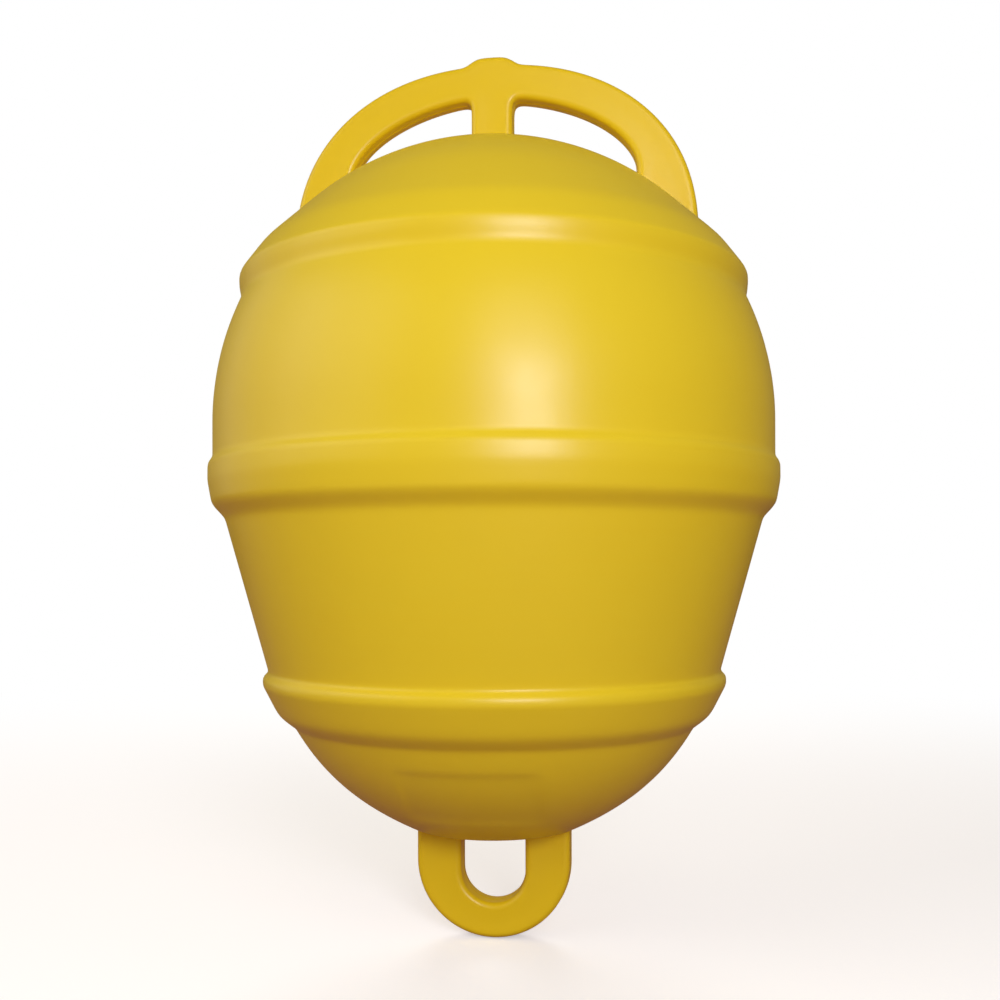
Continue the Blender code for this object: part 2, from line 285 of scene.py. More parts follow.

# %% [markdown]
# ## The float's surface
#
# Each grid point starts on the turned outline and moves a little along the surface's normal. Three
# small heights are added: the parting line, a thin ridge in the plane where the two mould halves met;
# a slow waviness, because plastic shrinks unevenly as it cools; and a shallow blank field with soft
# edges on the front of the bowl. Painting them into a bump texture would be quicker, but real heights
# also show at the limb and in the mesh itself.

# %% Relief of the float
PARTING_HEIGHT = 0.25 * MM
PARTING_WIDTH = 0.55 * MM
WAVE_HEIGHT = 0.14 * MM
# Each wave: turns round the float, radians for each metre up it, and where it starts
WAVES = np.array([[2, 31.0, 0.4], [3, -22.0, 2.1], [5, 14.0, 4.0], [1, 47.0, 5.2], [4, -38.0, 1.3]])


def soft_step(value, width):
    """Half of one plus the hyperbolic tangent of value over width: 0 below zero and 1 above it."""
    return 0.5 + 0.5 * np.tanh(value / width)


def parting_ridge(across):
    """Height of the mould's parting line at a distance across it: a narrow bell."""
    return PARTING_HEIGHT * np.exp(-((across / PARTING_WIDTH) ** 2))


def waviness(angle, level):
    """Mean of a few slow sine waves that run round the float and up it."""
    phase = WAVES[:, 0, None] * angle.ravel() + WAVES[:, 1, None] * level.ravel() + WAVES[:, 2, None]
    return WAVE_HEIGHT * np.sin(phase).mean(axis=0).reshape(angle.shape)


def blank_field(angle, level, radius):
    """Depth of the shallow field: the product of four soft steps, one at each side."""
    across = np.abs((angle - FIELD_ANGLE) * radius)
    inside = soft_step(FIELD_HALF_WIDTH - across, FIELD_EDGE)
    inside = inside * soft_step(level - FIELD_LOW, FIELD_EDGE) * soft_step(FIELD_HIGH - level, FIELD_EDGE)
    return FIELD_DEPTH * inside


# %% The float as a mesh
def grid_faces(count, around):
    """Faces between rows of points, each row closed on itself: four corners each, facing outwards."""
    row, column = np.meshgrid(np.arange(count - 1), np.arange(around), indexing="ij")
    after = (column + 1) % around
    here = row * around
    below = here + around
    corners = [here + column, below + column, below + after, here + after]
    return np.stack(corners, axis=-1).reshape(-1, 4)


def make_mesh_object(name, points, faces):
    """A smooth-shaded mesh object at the origin from an array of points and lists of faces."""
    mesh = bpy.data.meshes.new(name)
    mesh.from_pydata(points.tolist(), [], faces)
    mesh.shade_smooth()
    obj = bpy.data.objects.new(name, mesh)
    bpy.context.scene.collection.objects.link(obj)
    return obj


def float_mesh():
    """Outline points plus the relief along their normal, turned to each column; fans close the poles."""
    profile = along(outline, rows[1:-1])
    slope = np.gradient(outline, outline_length, axis=0)
    slope = np.column_stack([np.interp(rows[1:-1], outline_length, column) for column in slope.T])
    slope = slope / np.linalg.norm(slope, axis=1)[:, None]
    radius = np.repeat(profile[:, :1], len(columns), axis=1)
    level = np.repeat(profile[:, 1:], len(columns), axis=1)
    angle = np.repeat(columns[None, :], len(profile), axis=0)
    relief = parting_ridge(radius * np.sin(angle)) + waviness(angle, level)
    relief = relief - blank_field(angle, level, radius)
    radius = radius - relief * slope[:, 1:]
    level = level + relief * slope[:, :1]
    points = np.stack([radius * np.cos(angle), radius * np.sin(angle), level], axis=-1).reshape(-1, 3)
    points = np.concatenate([points, [[0.0, 0.0, outline[0, 1]], [0.0, 0.0, outline[-1, 1]]]])
    around = len(columns)
    column = np.arange(around)
    after = (column + 1) % around
    last = len(profile) * around - around
    top_fan = np.column_stack([np.full(around, len(points) - 2), column, after])
    flat_fan = np.column_stack([np.full(around, len(points) - 1), last + after, last + column])
    faces = grid_faces(len(profile), around).tolist() + top_fan.tolist() + flat_fan.tolist()
    return make_mesh_object("float_shell", points, faces)


float_shell = float_mesh()
print("float shell:", len(float_shell.data.vertices), "points")

# %% [markdown]
# ## Handle and eye: plates with rounded rims
#
# Handle and eye are flat plates in the mould's parting plane. A plate could be an extruded outline with
# a bevel. Here it is worked out instead, because its rim has a parting ridge, a little draft to let the
# mould go, and a round edge, and its foot flares into the float. The outline is closed through the
# inside of the float, where it can't be seen.

# %% Sizes of the two plates
HANDLE_THICKNESS = 15.0 * MM
HANDLE_TOP = 460.4 * MM
HANDLE_HALF_SPAN = 116.3 * MM
HANDLE_ARCH_HEIGHT = 100.0 * MM
HANDLE_SQUARENESS = 2.21
WINDOW_TOP = 441.1 * MM
WINDOW_HALF_SPAN = 82.2 * MM
WINDOW_ARCH_HEIGHT = 44.0 * MM
WINDOW_SQUARENESS = 1.85
POST_WIDTH = 23.8 * MM
BOSS_BASE_WIDTH = 28.0 * MM
BOSS_TOP_WIDTH = 19.5 * MM
BOSS_RISE = 4.5 * MM
HANDLE_ROOT = 329.9 * MM

EYE_THICKNESS = 18.0 * MM
EYE_LEG_WIDTH = 25.9 * MM
EYE_TIP_BAND = 20.2 * MM
EYE_ROOT = 41.7 * MM

RIM_RADIUS = 3.2 * MM

# %% Outline of the handle
ARCH_POINTS = 1200


def arch(half_span, height, squareness, top):
    """Ellipse whose cosine and sine are raised to two over squareness, from right foot to left foot."""
    angle = np.linspace(0.0, math.pi, ARCH_POINTS)
    out = half_span * np.sign(np.cos(angle)) * np.abs(np.cos(angle)) ** (2 / squareness)
    return np.column_stack([out, top - height + height * np.sin(angle) ** (2 / squareness)])


def round_foot(inner, outer, level, side):
    """Half circle that closes a leg inside the float; side is -1 below the leg and 1 above it."""
    start = 0.0 if side > 0 else math.pi
    return circle_arc(((inner + outer) / 2, level), abs(outer - inner) / 2, start, start + math.pi)


def handle_loop():
    """The handle's outline, anticlockwise from the front, and the corners that get the larger fillet."""
    outer = arch(HANDLE_HALF_SPAN, HANDLE_ARCH_HEIGHT, HANDLE_SQUARENESS, HANDLE_TOP)
    inner = arch(WINDOW_HALF_SPAN, WINDOW_ARCH_HEIGHT, WINDOW_SQUARENESS, WINDOW_TOP)
    boss_top = HANDLE_TOP + BOSS_RISE
    boss = [(BOSS_TOP_WIDTH / 2, boss_top), (-BOSS_TOP_WIDTH / 2, boss_top)]
    post = POST_WIDTH / 2
    right_window = inner[inner[:, 0] > post][::-1]
    left_window = inner[inner[:, 0] < -post][::-1]
    loop = np.concatenate(
        [
            outer[outer[:, 0] > BOSS_BASE_WIDTH / 2],
            boss,
            outer[outer[:, 0] < -BOSS_BASE_WIDTH / 2],
            round_foot(-WINDOW_HALF_SPAN, -HANDLE_HALF_SPAN, HANDLE_ROOT, -1),
            left_window,
            round_foot(-post, post, HANDLE_ROOT, -1),
            right_window,
            round_foot(WINDOW_HALF_SPAN, HANDLE_HALF_SPAN, HANDLE_ROOT, -1),
        ]
    )
    return loop, np.concatenate([boss, right_window[:1], left_window[-1:]])


# %% Outline of the eye
NO_CORNERS = np.full((1, 2), np.inf)


def eye_loop():
    """The eye's outline, a U closed through the float; it has no corner that needs the larger fillet."""
    half_width = EYE_HOLE_RADIUS + EYE_LEG_WIDTH
    tip_centre = (0.0, half_width - EYE_HOLE_RADIUS - EYE_TIP_BAND)
    loop = np.concatenate(
        [
            circle_arc(tip_centre, half_width, -math.pi, 0.0),
            round_foot(EYE_HOLE_RADIUS, half_width, EYE_ROOT, 1),
            circle_arc((0.0, 0.0), EYE_HOLE_RADIUS, 0.0, -math.pi),
            round_foot(-half_width, -EYE_HOLE_RADIUS, EYE_ROOT, 1),
        ]
    )
    return loop, NO_CORNERS


# %% Softened outlines
EDGE_SOFTNESS = 1.2 * MM
CORNER_SOFTNESS = 3.7 * MM
CORNER_REACH = 10.0 * MM


def round_the_loop(points, count):
    """A closed outline continued at both ends by its own points."""
    return np.concatenate([points[-count:], points, points[:count]])


def soft_loop(loop, corners):
    """The closed outline at fine steps, softened a little, and more around the named corners."""
    fine = evenly(np.concatenate([loop, loop[:1]]), FINE_STEP)[:-1]
    return soften(fine, corners, (EDGE_SOFTNESS, CORNER_SOFTNESS), CORNER_REACH, round_the_loop)


handle_outline = soft_loop(*handle_loop())
eye_outline = soft_loop(*eye_loop())
print("outline points: handle", len(handle_outline), "eye", len(eye_outline))

# %% Distances to a curve
BLOCK = 4000
COARSE = 4
QUARTER_TURN = np.array([[0.0, 1.0], [-1.0, 0.0]])

coarse_outline = outline[::COARSE]
print("coarse outline:", len(coarse_outline), "points")


def headings(curve, closed):
    """Unit directions along a curve at each of its points."""
    if closed:
        change = np.roll(curve, -1, axis=0) - np.roll(curve, 1, axis=0)
    else:
        change = np.gradient(curve, axis=0)
    return change / np.linalg.norm(change, axis=1)[:, None]


def left_side(curve, closed):
    """Unit directions square to a curve, to its left-hand side."""
    return headings(curve, closed) @ QUARTER_TURN


def nearest_places(points, curve):
    """Number of the curve's point that lies nearest to each given point, worked out in blocks."""
    found = []
    for block in np.array_split(points, max(1, len(points) // BLOCK)):
        away = ((block[:, None] - curve[None]) ** 2).sum(axis=2)
        found.append(away.argmin(axis=1))
    return np.concatenate(found)


def side_distance(points, curve, closed):
    """Distance of points to the nearest point of a curve; positive on the curve's left-hand side."""
    nearest = nearest_places(points, curve)
    offset = points - curve[nearest]
    side = np.where((offset * left_side(curve, closed)[nearest]).sum(axis=1) < 0, -1.0, 1.0)
    return side * np.linalg.norm(offset, axis=1)


def turned(points):
    """Radius and level of points in space."""
    return np.column_stack([np.hypot(points[:, 0], points[:, 1]), points[:, 2]])


def height_over_float(points):
    """How far points stand out from the float's turned surface; negative inside the float."""
    return side_distance(turned(points), coarse_outline, False)


def float_normals(points):
    """The float's outward direction below or above each point."""
    flat = turned(points)
    out, up = left_side(coarse_outline, False)[nearest_places(flat, coarse_outline)].T
    spoke = points[:, :2] / np.maximum(flat[:, :1], FINE_STEP)
    return np.column_stack([spoke * out[:, None], up])


# %% [markdown]
# A plate's surface is again a grid: the place along its outline and the place across its rim. Across
# the rim come the parting ridge, the drafted side, a quarter circle and the start of the flat face. The
# two faces are filled with triangles over scattered points, so that they can sink a little in the
# middle, as thick plastic does. Close to the float the points crowd, and the plate's skin is pushed out
# along a circle's curve, which gives the fillet at its root.

# %% Spacing along a plate's outline
PLATE_STEP = 1.6 * MM
ROOT_STEP = 0.85 * MM
HIDDEN_STEP = 5.0 * MM
ROOT_REACH = 7.0 * MM
POINTS_PER_RADIAN = 10.0
SPACING_BLEND = 1.5 * MM


def root_density(points_in_plane):
    """Points per metre that a place on a plate wants, from its height over the float."""
    out, up = points_in_plane.T
    height = height_over_float(np.column_stack([out, np.zeros(len(out)), up]))
    density = np.where(np.abs(height) < ROOT_REACH, 1 / ROOT_STEP, 1 / PLATE_STEP)
    return np.where(height < -ROOT_REACH, 1 / HIDDEN_STEP, density)


def spaced_loop(loop):
    """The closed outline with its points spaced by need: close at the float and where it bends."""
    closed = np.concatenate([loop, loop[:1]])
    length = running_length(closed)
    heading = headings(loop, True)
    turn = np.unwrap(np.arctan2(heading[:, 1], heading[:, 0]))
    bend = np.abs(np.gradient(turn, length[1] - length[0]))
    density = np.maximum(root_density(loop), np.minimum(bend * POINTS_PER_RADIAN, 1 / ROOT_STEP))
    weights = bell(SPACING_BLEND, length[1] - length[0])
    density = np.convolve(round_the_loop(density, len(weights) // 2), weights, mode="valid")
    places = lines_from_density(length, np.append(density, density[0]), 1)
    return along(closed, places)[:-1]


# %% The section across a plate's rim
DRAFT = math.tan(math.radians(2.0))
FACE_MARGIN = 1.0 * MM
RIDGE_PLACES = np.array([0.0, 0.3, 0.6, 0.9, 1.4]) * MM
RIM_ROWS = 8


def rim_section(thickness):
    """From front to back, how far in from the outline and along Y, and the tilt outwards.

    Ridge, then the side drawn in by draft times Y, then a quarter circle, then the face's start.
    """
    half = thickness / 2
    side = np.zeros(len(RIDGE_PLACES))
    tilt = np.linspace(0.0, math.pi / 2, RIM_ROWS)
    along_y = np.concatenate([RIDGE_PLACES, half - RIM_RADIUS + RIM_RADIUS * np.sin(tilt), [half]])
    inward = np.concatenate([side, RIM_RADIUS * (1 - np.cos(tilt)), [RIM_RADIUS + FACE_MARGIN]])
    inward = inward + DRAFT * np.minimum(along_y, half - RIM_RADIUS) - parting_ridge(along_y)
    tilt = np.concatenate([side, tilt, [math.pi / 2]])
    mirrored = [values[:0:-1] for values in (inward, -along_y, -tilt)]
    return [np.concatenate([near, far]) for near, far in zip(mirrored, (inward, along_y, tilt))]


print("rows across a rim:", len(rim_section(HANDLE_THICKNESS)[0]))

# %% Points of a plate's faces
FACE_STEP = 2.6 * MM
RING_CLEARANCE = 0.7


def face_points(ring):
    """Scattered points of a face: two triangular lattices, the finer one only close to the float."""
    found = []
    low, high = ring.min(axis=0), ring.max(axis=0)
    for step, near_root in ((FACE_STEP, False), (ROOT_STEP, True)):
        across = np.arange(low[0], high[0], step)
        up = np.arange(low[1], high[1], step * math.sqrt(3) / 2)
        grid = np.stack(np.meshgrid(across, up), axis=-1)
        grid[1::2, :, 0] += step / 2
        grid = grid.reshape(-1, 2)
        density = root_density(grid)
        close = density > (1 / PLATE_STEP + 1 / ROOT_STEP) / 2
        wanted = close if near_root else ~close & (density > 1 / HIDDEN_STEP)
        grid = grid[wanted]
        found.append(grid[side_distance(grid, ring, True) > step * RING_CLEARANCE])
    return np.concatenate(found)


# %% The fillet at a plate's root
ROOT_FILLET = 4.0 * MM
ROOT_OVERLAP = 0.25 * MM


def root_flare(points, outward):
    """Pushes points outwards along the float's surface, by a quarter circle's distance from its tangent.

    That is nothing at the fillet's height over the float, and the full radius on the float itself.
    """
    height = np.clip(height_over_float(points) + ROOT_OVERLAP, 0.0, ROOT_FILLET)
    grow = ROOT_FILLET - np.sqrt(ROOT_FILLET**2 - (ROOT_FILLET - height) ** 2)
    normal = float_normals(points)
    sideways = outward - (outward * normal).sum(axis=1)[:, None] * normal
    return points + sideways * grow[:, None]


# %% The plates as closed meshes
SINK_DEPTH = 0.25 * MM
SINK_REACH = 4.0 * MM
INSIDE_FACES = 1
SAME_PLACE = 1e-7


def at_depths(in_plane, along_y):
    """Rows of points in the XZ plane as points in space, each row at its own Y."""
    depth = np.repeat(along_y[:, None], in_plane.shape[1], axis=1)
    return np.stack([in_plane[..., 0], depth, in_plane[..., 1]], axis=-1).reshape(-1, 3)


def face_triangles(ring, scattered):
    """Delaunay triangles over the ring and the scattered points, with the ring as their border."""
    flat = np.concatenate([ring, scattered])
    border = [list(range(len(ring)))]
    kept, _, triangles, *_ = delaunay_2d_cdt(flat.tolist(), [], border, INSIDE_FACES, SAME_PLACE)
    print("face:", len(triangles), "triangles; no points merged:", len(kept) == len(flat))
    return np.array(triangles)


def plate(name, loop, thickness):
    """Rim grid along the outline, and two faces sunk by the depth times one minus a bell curve.

    The bell stands on the rim, so that the sink starts there at nothing and grows inwards.
    """
    loop = spaced_loop(loop)
    heading = headings(loop, True)
    outside = np.column_stack([heading[:, 1], -heading[:, 0]])
    inward, along_y, tilt = rim_section(thickness)
    in_plane = loop[None] - inward[:, None, None] * outside[None]
    lean = np.cos(tilt)[:, None, None] * outside[None]

    ring = in_plane[0]
    scattered = face_points(ring)
    triangles = face_triangles(ring, scattered)
    inset = side_distance(scattered, loop, True) - RIM_RADIUS
    sink = SINK_DEPTH * (1 - np.exp(-((inset / SINK_REACH) ** 2)))
    face_y = thickness / 2 - sink

    front = np.column_stack([scattered[:, 0], -face_y, scattered[:, 1]])
    back = front * (1, -1, 1)
    front_out = np.tile([0.0, -1.0, 0.0], (len(front), 1))
    points = np.concatenate([at_depths(in_plane, along_y), front, back])
    outward = np.concatenate([at_depths(lean, np.sin(tilt)), front_out, -front_out])
    points = root_flare(points, outward)

    rings, around = in_plane.shape[:2]
    number = np.concatenate([np.arange(around), rings * around + np.arange(len(scattered))])
    front_faces = number[triangles]
    number = np.concatenate([(rings - 1) * around + np.arange(around), number[around:] + len(scattered)])
    back_faces = number[triangles][:, ::-1]
    faces = grid_faces(rings, around).tolist() + front_faces.tolist() + back_faces.tolist()
    print(name, "has", len(points), "points")
    return make_mesh_object(name, points, faces)


handle_plate = plate("handle_plate", handle_outline, HANDLE_THICKNESS)
eye_plate = plate("eye_plate", eye_outline, EYE_THICKNESS)

# %% [markdown]
# ## One moulding
#
# The mould makes float, handle and eye in one go, so the three shapes become one closed surface. An
# exact union keeps both surfaces as they are and cuts away what lies inside. The seam it leaves is
# relaxed by a few smoothing steps, which only touch the points close to it.

# %% Joining the three shapes
WELD_DISTANCE = 0.05 * MM


def settled(obj):
    """Gives an object the mesh that its modifiers make, and drops the modifiers."""
    graph = bpy.context.evaluated_depsgraph_get()
    mesh = bpy.data.meshes.new_from_object(obj.evaluated_get(graph))
    obj.modifiers.clear()
    obj.data = mesh
    return obj


def join(body, plates):
    """Exact union of the float with each plate, with slivers welded away."""
    for part in plates:
        union = body.modifiers.new("moulded with " + part.name, "BOOLEAN")
        union.operation = "UNION"
        union.solver = "EXACT"
        union.object = part
    weld = body.modifiers.new("weld", "WELD")
    weld.merge_threshold = WELD_DISTANCE
    settled(body)
    for part in plates:
        bpy.data.objects.remove(part, do_unlink=True)


buoy = float_shell
buoy.name = "buoy_moulding"
join(buoy, [handle_plate, eye_plate])
print("joined:", len(buoy.data.vertices), "points")

# %% Relaxing the seam
SEAM_REACH = 1.6 * MM
SEAM_STEPS = 6
SEAM_STRENGTH = 0.5


def positions(mesh):
    """All points of a mesh as an array of rows."""
    flat = np.empty(len(mesh.vertices) * 3, np.float32)
    mesh.vertices.foreach_get("co", flat)
    return flat.reshape(-1, 3).astype(float)


def plate_distance(points, loop, thickness):
    """Distance to a plate with rounded rims; negative inside it."""
    beside = RIM_RADIUS - side_distance(points[:, [0, 2]], loop[::COARSE], True)
    beyond = np.abs(points[:, 1]) - thickness / 2 + RIM_RADIUS
    outside = np.hypot(np.maximum(beside, 0.0), np.maximum(beyond, 0.0))
    return outside + np.minimum(np.maximum(beside, beyond), 0.0) - RIM_RADIUS


def relax_seam(body):
    """Smooths the points near the seam, where the fillets of the plates run out on the float."""
    points = positions(body.data)
    height = np.abs(height_over_float(points))
    near = np.minimum(
        plate_distance(points, handle_outline, HANDLE_THICKNESS),
        plate_distance(points, eye_outline, EYE_THICKNESS),
    )
    weight = (height < SEAM_REACH) & (near < ROOT_FILLET + SEAM_REACH)
    group = body.vertex_groups.new(name="seam")
    group.add(np.flatnonzero(weight).tolist(), 1.0, "REPLACE")
    relax = body.modifiers.new("relaxed seam", "SMOOTH")
    relax.factor = SEAM_STRENGTH
    relax.iterations = SEAM_STEPS
    relax.vertex_group = group.name
    settled(body)
    print("seam:", int(weight.sum()), "points relaxed")


relax_seam(buoy)
buoy.data.shade_smooth()
print("moulding:", len(buoy.data.vertices), "points,", len(buoy.data.polygons), "faces")

# %% [markdown]
# ## The plastic
#
# The buoy is coloured right through with one yellow. The handle and the eye are solid bars, which look a
# little deeper and more orange than the thin float wall. Two materials would meet in a hard line, so one
# material blends between two colours instead. A mask on the mesh says how far a point belongs to a bar.
# It is worked out from the height over the float.

# %% Mask of the solid bars
BAR_START = 1.5 * MM
BAR_BLEND = 1.5 * MM

bar_mask = soft_step(height_over_float(positions(buoy.data)) - BAR_START, BAR_BLEND)
attribute = buoy.data.attributes.new("solid_bar", "FLOAT", "POINT")
attribute.data.foreach_set("value", bar_mask.astype(np.float32))
print("share of points on the bars:", round(float(bar_mask.mean()), 3))

# %% [markdown]
# Shader maths reads best as arithmetic. The small class below wraps a node's output, so that an
# expression such as `0.3 + 0.1 * grain` adds the Math nodes by itself. The second class makes any other
# node: its type, its settings, and the values or links of its sockets.

# %% Arithmetic on a node's output
class Signal:
    """The output of a node; arithmetic on it adds Math nodes to its tree."""

    def __init__(self, finish, socket):
        self.finish = finish
        self.socket = socket

    def math(self, operation, first, second):
        """Adds one Math node for the two operands."""
        return self.finish.add("ShaderNodeMath", {"operation": operation}, {0: first, 1: second})

    def __add__(self, other):
        return self.math("ADD", self, other)

    def __radd__(self, other):
        return self.math("ADD", other, self)

    def __sub__(self, other):
        return self.math("SUBTRACT", self, other)

    def __rsub__(self, other):
        return self.math("SUBTRACT", other, self)

    def __mul__(self, other):
        return self.math("MULTIPLY", self, other)

    def __rmul__(self, other):
        return self.math("MULTIPLY", other, self)


# %% A node tree, written node by node
# Places of the share and of the two colours among the Mix node's inputs
MIX_SHARE, MIX_FIRST_COLOUR, MIX_SECOND_COLOUR = 0, 6, 7


class Finish:
    """A node tree being written: add() makes one node and returns its output as a Signal."""

    def __init__(self, owner):
        self.tree = owner.node_tree
        self.tree.nodes.clear()

    def add(self, kind, settings=None, sockets=None, output=0):
        """Makes a node, sets its settings, then fills or links its sockets."""
        node = self.tree.nodes.new(kind)
        for name, value in (settings or {}).items():
            setattr(node, name, value)
        for name, value in (sockets or {}).items():
            if isinstance(value, Signal):
                self.tree.links.new(value.socket, node.inputs[name])
            else:
                node.inputs[name].default_value = value
        outputs = [socket for socket in node.outputs if socket.enabled]
        chosen = node.outputs[output] if isinstance(output, str) else (outputs or [None])[output]
        return Signal(self, chosen)

    def blend(self, share, first, second):
        """Mixes two colours: the first where share is 0, the second where it is 1."""
        sockets = {MIX_SHARE: share, MIX_FIRST_COLOUR: first, MIX_SECOND_COLOUR: second}
        return self.add("ShaderNodeMix", {"data_type": "RGBA"}, sockets)


# %% Colours, gloss and grain of the plastic
FLOAT_YELLOW = (0.835, 0.637, 0.023, 1.0)
FLOAT_YELLOW_DEEP = (0.810, 0.604, 0.018, 1.0)
BAR_YELLOW = (0.845, 0.600, 0.010, 1.0)
BAR_YELLOW_DEEP = (0.805, 0.560, 0.008, 1.0)
FLOAT_ROUGHNESS = 0.36
BAR_ROUGHNESS = 0.34
PATCH_ROUGHNESS = 0.10
GRAIN_ROUGHNESS = 0.06
POLYETHYLENE_IOR = 1.5
SPECULAR_LEVEL = 0.43

# Each noise: how often it repeats in a metre, and its detail
CLOUDS = (14.0, 3.0)
PATCHES = (55.0, 4.0)
PEBBLE = (260.0, 2.0)
GRAIN = (900.0, 2.0)
CLOUD_SHARE = 0.6
PATCH_SHARE = 0.4
RELIEF_HEIGHT = 0.04 * MM
GRAIN_SHARE = 0.35
PEBBLE_SHARE = 0.65
BAR_PEBBLE_SHARE = 0.9

# %% Yellow polyethylene
def noise(finish, place, scale, detail):
    """Noise over the object's own coordinates, from 0 to 1 with a mean of a half."""
    return finish.add("ShaderNodeTexNoise", None, {"Vector": place, "Scale": scale, "Detail": detail})


def yellow_polyethylene():
    """Plastic coloured through: faint clouding, a fine moulded grain in bump, and uneven gloss."""
    material = bpy.data.materials.new("yellow_polyethylene")
    material.use_nodes = True
    finish = Finish(material)
    place = finish.add("ShaderNodeTexCoord", None, None, "Object")
    bar = finish.add("ShaderNodeAttribute", {"attribute_name": "solid_bar"}, None, "Fac")
    clouds = noise(finish, place, *CLOUDS)
    patches = noise(finish, place, *PATCHES)
    grain = noise(finish, place, *GRAIN)
    pebble = noise(finish, place, *PEBBLE)
    cloudy = CLOUD_SHARE * clouds + PATCH_SHARE * patches
    float_colour = finish.blend(cloudy, FLOAT_YELLOW, FLOAT_YELLOW_DEEP)
    bar_colour = finish.blend(cloudy, BAR_YELLOW, BAR_YELLOW_DEEP)
    colour = finish.blend(bar, float_colour, bar_colour)
    gloss = FLOAT_ROUGHNESS + (BAR_ROUGHNESS - FLOAT_ROUGHNESS) * bar
    roughness = gloss + PATCH_ROUGHNESS * (patches - 0.5) + GRAIN_ROUGHNESS * (grain - 0.5)
    height = GRAIN_SHARE * grain + (PEBBLE_SHARE + BAR_PEBBLE_SHARE * bar) * pebble
    sockets = {"Strength": 1.0, "Distance": RELIEF_HEIGHT, "Height": height}
    bump = finish.add("ShaderNodeBump", None, sockets, "Normal")
    sockets = {
        "Base Color": colour,
        "Roughness": roughness,
        "Normal": bump,
        "Metallic": 0.0,
        "IOR": POLYETHYLENE_IOR,
        "Specular IOR Level": SPECULAR_LEVEL,
    }
    shader = finish.add("ShaderNodeBsdfPrincipled", None, sockets, "BSDF")
    finish.add("ShaderNodeOutputMaterial", None, {"Surface": shader})
    return material


# %% The finish goes on the moulding
buoy.data.materials.clear()
buoy.data.materials.append(yellow_polyethylene())
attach(buoy, "root")
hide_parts(BUOY_NODE)
print("finish:", buoy.data.materials[0].name)

# %% [markdown]
# ## Floor and surroundings
#
# The floor is a plain pale sheet right under the tip of the eye, and the room around it is white for
# the camera. If both were as white for the light that reaches the plastic, the bowl would be lit from
# below and the sides of the float would turn pale, where the photo shows dark gold. So only camera
# rays see the full white. Other rays meet a dimmer and warmer floor and room. The object has no metal
# or glass that would need to mirror the white.

# %% Floor
FLOOR_LEVEL = -38.8 * MM
FLOOR_SIZE = 12.0
FLOOR_SHADE_START = 0.35
FLOOR_SHADE_END = 1.5
FLOOR_GLOW = 0.42
FLOOR_WHITE = (0.80, 0.80, 0.80, 1.0)
FLOOR_BOUNCE = (0.35, 0.19, 0.20, 1.0)


def floor_material():
    """White for the camera with the object's soft shadow near it; darker for the light it throws back."""
    material = bpy.data.materials.new("pale_floor")
    material.use_nodes = True
    finish = Finish(material)
    place = finish.add("ShaderNodeTexCoord", None, None, "Object")
    away = finish.add("ShaderNodeVectorMath", {"operation": "LENGTH"}, {0: place}, "Value")
    fade = finish.add(
        "ShaderNodeMapRange",
        {"interpolation_type": "SMOOTHSTEP"},
        {"Value": away, "From Min": FLOOR_SHADE_START, "From Max": FLOOR_SHADE_END},
    )
    sight = finish.add("ShaderNodeLightPath", None, None, "Is Camera Ray")
    lit = finish.add("ShaderNodeBsdfDiffuse", None, {"Color": FLOOR_WHITE})
    glow = finish.add("ShaderNodeEmission", None, {"Strength": FLOOR_GLOW})
    near = finish.add("ShaderNodeAddShader", None, {0: lit, 1: glow})
    far = finish.add("ShaderNodeEmission", None, {"Strength": 1.0})
    seen = finish.add("ShaderNodeMixShader", None, {0: fade, 1: near, 2: far})
    bounce = finish.add("ShaderNodeBsdfDiffuse", None, {"Color": FLOOR_BOUNCE})
    surface = finish.add("ShaderNodeMixShader", None, {0: sight, 1: bounce, 2: seen})
    finish.add("ShaderNodeOutputMaterial", None, {"Surface": surface})
    return material


corners = np.array([(-1, -1), (1, -1), (1, 1), (-1, 1)]) * FLOOR_SIZE / 2
corners = np.column_stack([corners, np.full(len(corners), FLOOR_LEVEL)])
floor = make_mesh_object("floor", corners, [(0, 1, 2, 3)])
floor.data.materials.append(floor_material())
print("floor level in mm:", round(FLOOR_LEVEL / MM, 1))

# %% The room
ROOM_LIGHT = (0.225, 0.17, 0.12, 1.0)
ROOM_WHITE = (1.0, 1.0, 1.0, 1.0)


def white_room():
    """World that is white for the camera and a dim even light for everything else."""
    world = bpy.data.worlds.new("white_room")
    world.use_nodes = True
    finish = Finish(world)
    sight = finish.add("ShaderNodeLightPath", None, None, "Is Camera Ray")
    dim = finish.add("ShaderNodeBackground", None, {"Color": ROOM_LIGHT, "Strength": 1.0})
    white = finish.add("ShaderNodeBackground", None, {"Color": ROOM_WHITE, "Strength": 1.0})
    surface = finish.add("ShaderNodeMixShader", None, {0: sight, 1: dim, 2: white})
    finish.add("ShaderNodeOutputWorld", None, {"Surface": surface})
    return world


bpy.context.scene.world = white_room()
print("room:", bpy.context.scene.world.name)

# %% [markdown]
# ## Lamps
#
# The photo has its main lamp right of the camera. With a wider one above it, it makes the soft highlights
# that stand in one column down the float. Two large weak lamps fill the left side. One more lights the
# back, for the other views, and stays out of the gloss, where it would whiten the underside of the arch.
# Each lamp is given by how bright a white card that faces it would look, which keeps the plastic close
# to the colour that it is written with. The main lamp is a trace cooler than the rest of the light.

# %% Soft lamps
AIM = np.array([0.0, 0.0, 0.24])
KEY_TINT = (0.98, 1.0, 1.12)


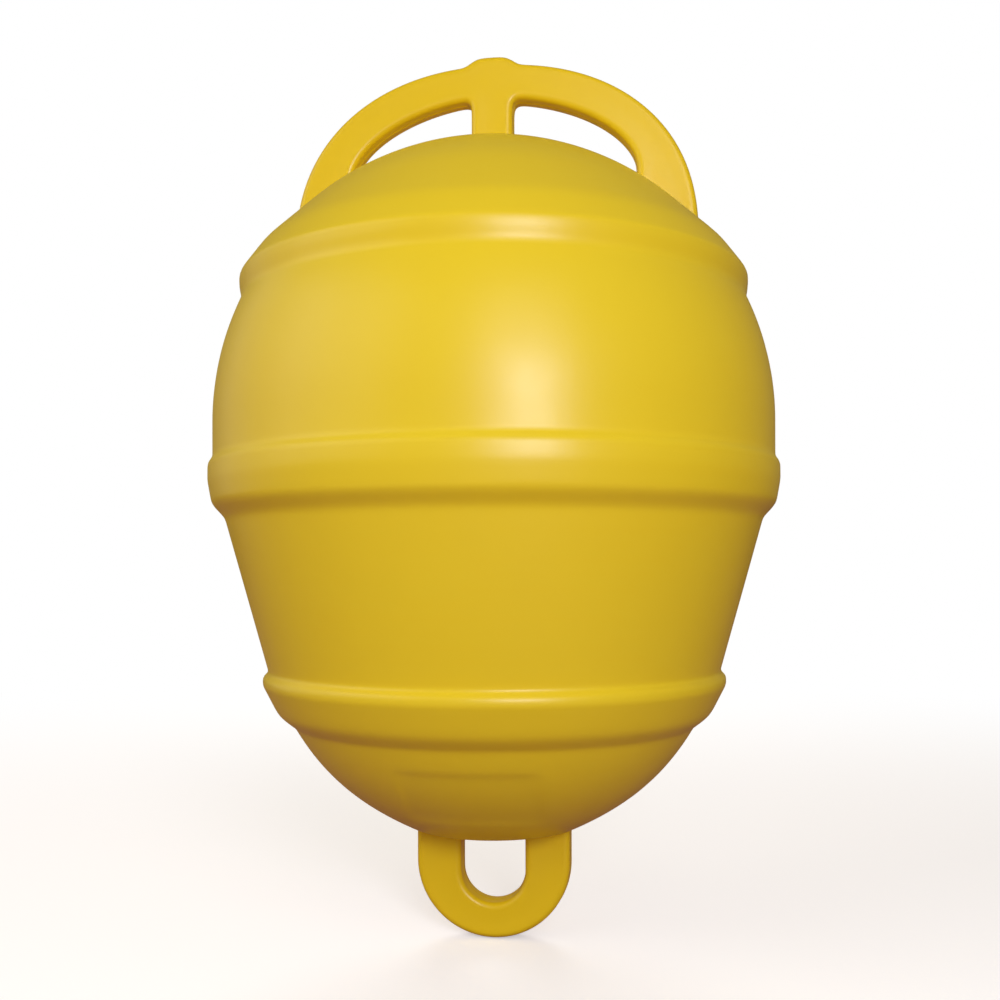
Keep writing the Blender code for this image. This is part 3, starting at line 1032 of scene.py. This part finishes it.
def soft_lamp(name, azimuth, elevation, distance, size, level):
    """Rectangular lamp aimed at the float: its power is level times the square of pi times distance.

    A white card at the float that faces it would then look as bright as level.
    """
    turn, lift = math.radians(azimuth), math.radians(elevation)
    out = math.cos(lift)
    direction = np.array([math.sin(turn) * out, -math.cos(turn) * out, math.sin(lift)])
    lamp = bpy.data.lights.new(name, "AREA")
    lamp.shape = "RECTANGLE"
    lamp.size, lamp.size_y = size
    lamp.energy = level * math.pi**2 * distance**2
    obj = bpy.data.objects.new(name, lamp)
    obj.matrix_world = (
        Matrix.Translation(AIM + direction * distance)
        @ Matrix.Rotation(turn, 4, "Z")
        @ Matrix.Rotation(math.pi / 2 - lift, 4, "X")
    )
    bpy.context.scene.collection.objects.link(obj)
    return obj


# Each lamp: azimuth, elevation, distance, size across and up, and level
LAMPS = {
    "key_lamp": (19.5, 9.0, 1.3, (0.40, 0.38), 0.45),
    "upper_lamp": (18.0, 28.0, 1.3, (0.60, 0.60), 0.16),
    "left_lamp": (-55.0, 24.0, 1.6, (1.40, 1.20), 0.25),
    "side_lamp": (-95.0, 15.0, 1.8, (1.80, 1.60), 0.13),
    "back_lamp": (188.0, 28.0, 2.2, (0.90, 0.90), 0.38),
}
lamps = {name: soft_lamp(name, *values) for name, values in LAMPS.items()}
lamps["key_lamp"].data.color = KEY_TINT
lamps["back_lamp"].visible_glossy = False
print("lamps:", ", ".join(lamps))

# %% [markdown]
# ## Camera
#
# The camera was fitted to the photo's outline: it stands level, 653 mm from the float's axis and a
# little below its middle, turned 8 degrees to the right of the handle's front. The photo shows the
# object above the level line, as a cropped picture does, so the lens is shifted instead of tilted.

# %% The photo's camera
CAMERA_AZIMUTH = math.radians(8.0)
CAMERA_DISTANCE = 0.6530
CAMERA_LEVEL = 0.17145
CAMERA_ROLL = math.radians(-0.13)
FOCAL_PIXELS = 1132.5
AXIS_COLUMN = 494.2
LEVEL_ROW = 570.1
PHOTO_PIXELS = 1000.0
SENSOR_WIDTH = 36.0

view_camera = bpy.data.cameras.new("photo_camera")
view_camera.sensor_width = SENSOR_WIDTH
view_camera.lens = SENSOR_WIDTH * FOCAL_PIXELS / PHOTO_PIXELS
view_camera.shift_x = (PHOTO_PIXELS / 2 - AXIS_COLUMN) / PHOTO_PIXELS
view_camera.shift_y = (LEVEL_ROW - PHOTO_PIXELS / 2) / PHOTO_PIXELS
camera = bpy.data.objects.new("photo_camera", view_camera)
camera.matrix_world = (
    Matrix.Rotation(CAMERA_AZIMUTH, 4, "Z")
    @ Matrix.Translation((0.0, -CAMERA_DISTANCE, CAMERA_LEVEL))
    @ Matrix.Rotation(math.pi / 2, 4, "X")
    @ Matrix.Rotation(CAMERA_ROLL, 4, "Z")
)
bpy.context.scene.collection.objects.link(camera)
bpy.context.scene.camera = camera
bpy.context.scene.view_settings.view_transform = "Standard"
print("lens in mm:", round(view_camera.lens, 2))
